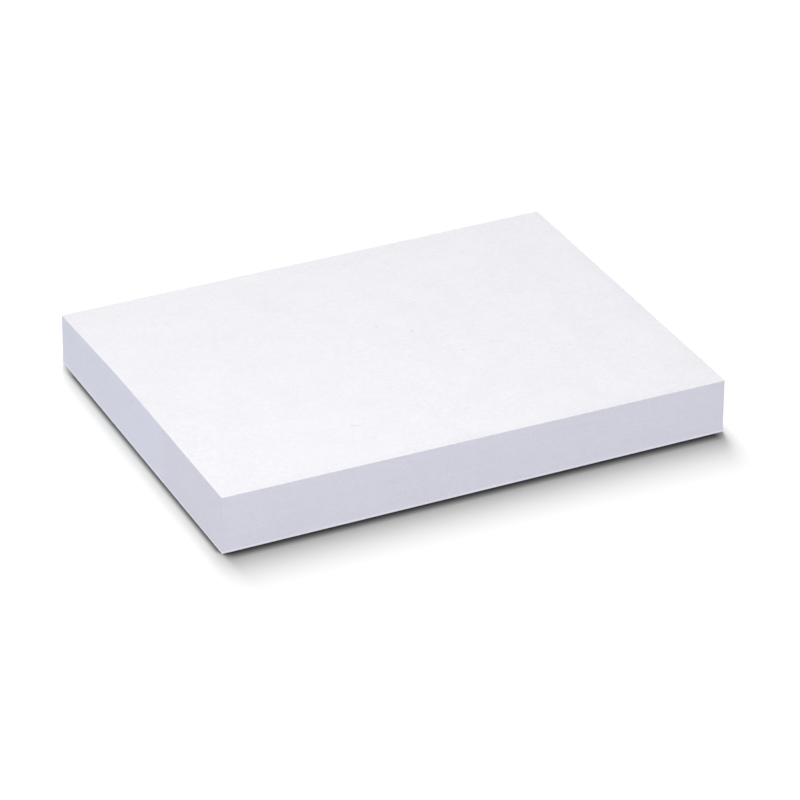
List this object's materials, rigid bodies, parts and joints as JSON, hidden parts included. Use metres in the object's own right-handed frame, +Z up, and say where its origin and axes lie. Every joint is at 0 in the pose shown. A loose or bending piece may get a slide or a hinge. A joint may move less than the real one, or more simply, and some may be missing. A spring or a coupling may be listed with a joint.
{
  "type": "sticky note pad",
  "caption": "Rectangular pad of plain white sticky notes on a backing sheet, slightly thicker along its glued long edge.",
  "frame": {"origin": "middle of the underside, on the surface that the pad lies on", "axes": "+X along the long edges, -Y out of the glued long edge, +Z up through the stack"},
  "size_m": [0.1, 0.075, 0.0114],
  "materials": {
    "note_paper": "uncoated white paper, matte",
    "backing_paper": "release-coated white paper, slightly smooth"
  },
  "bodies": {
    "root": {"note_sheets": "note_paper", "backing_sheet": "backing_paper"}
  },
  "joints": []
}
